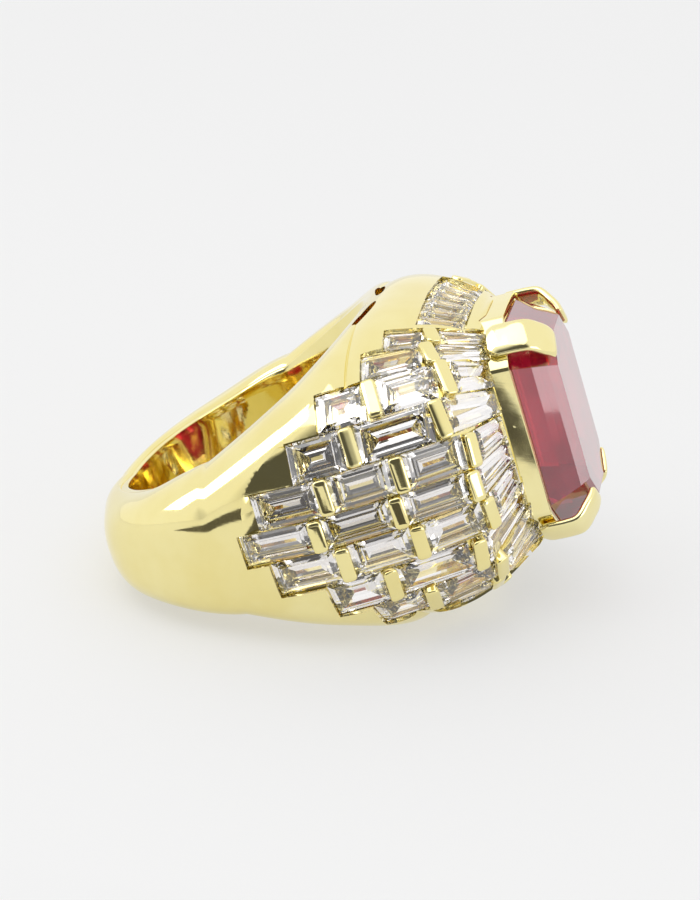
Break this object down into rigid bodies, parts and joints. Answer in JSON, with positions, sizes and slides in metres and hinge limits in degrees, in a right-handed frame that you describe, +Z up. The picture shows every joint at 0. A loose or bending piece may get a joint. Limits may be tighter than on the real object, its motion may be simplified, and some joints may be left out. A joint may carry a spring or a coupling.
{
  "type": "cocktail ring",
  "caption": "Gold bombe cocktail ring lying on its side: polished shank, hollow domed head paved with clear baguettes in staggered rows, long cut-corner red stone in a clawed collet.",
  "frame": {"origin": "on the table surface below the centre of the ring's bounding box, with the ring lying on its side", "axes": "+X from the back of the shank towards the red stone, +Z up, away from the table; the ring is its own mirror image in the XZ plane"},
  "size_m": [0.03, 0.0268, 0.0179],
  "materials": {
    "gold_band": "mirror-polished yellow gold",
    "gold_setting": "polished pale yellow gold",
    "clear_stone": "clear, step-cut and polished",
    "red_stone": "transparent red, step-cut and polished"
  },
  "bodies": {
    "root": {"baguette_far_lower_1_a": "clear_stone", "baguette_far_lower_1_b": "clear_stone", "baguette_far_lower_1_c": "clear_stone", "baguette_far_lower_2_a": "clear_stone", "baguette_far_lower_2_b": "clear_stone", "baguette_far_lower_3_a": "clear_stone", "baguette_far_lower_3_b": "clear_stone", "baguette_far_lower_4_a": "clear_stone", "baguette_far_lower_5_a": "clear_stone", "baguette_far_middle_a": "clear_stone", "baguette_far_middle_b": "clear_stone", "baguette_far_middle_c": "clear_stone", "baguette_far_upper_1_a": "clear_stone", "baguette_far_upper_1_b": "clear_stone", "baguette_far_upper_1_c": "clear_stone", "baguette_far_upper_2_a": "clear_stone", "baguette_far_upper_2_b": "clear_stone", "baguette_far_upper_3_a": "clear_stone", "baguette_far_upper_3_b": "clear_stone", "baguette_far_upper_4_a": "clear_stone", "baguette_far_upper_5_a": "clear_stone", "baguette_near_lower_1_a": "clear_stone", "baguette_near_lower_1_b": "clear_stone", "baguette_near_lower_1_c": "clear_stone", "baguette_near_lower_2_a": "clear_stone", "baguette_near_lower_2_b": "clear_stone", "baguette_near_lower_3_a": "clear_stone", "baguette_near_lower_3_b": "clear_stone", "baguette_near_lower_4_a": "clear_stone", "baguette_near_lower_5_a": "clear_stone", "baguette_near_middle_a": "clear_stone", "baguette_near_middle_b": "clear_stone", "baguette_near_middle_c": "clear_stone", "baguette_near_upper_1_a": "clear_stone", "baguette_near_upper_1_b": "clear_stone", "baguette_near_upper_1_c": "clear_stone", "baguette_near_upper_2_a": "clear_stone", "baguette_near_upper_2_b": "clear_stone", "baguette_near_upper_3_a": "clear_stone", "baguette_near_upper_3_b": "clear_stone", "baguette_near_upper_4_a": "clear_stone", "baguette_near_upper_5_a": "clear_stone", "claw_far_lower": "gold_setting", "claw_far_upper": "gold_setting", "claw_near_lower": "gold_setting", "claw_near_upper": "gold_setting", "collet": "gold_setting", "end_course_lower": "clear_stone", "end_course_upper": "clear_stone", "head_shell": "gold_band", "inner_course_far_side": "clear_stone", "inner_course_near_side": "clear_stone", "red_stone": "red_stone", "shank": "gold_band", "stone_seat": "gold_setting"}
  },
  "joints": []
}
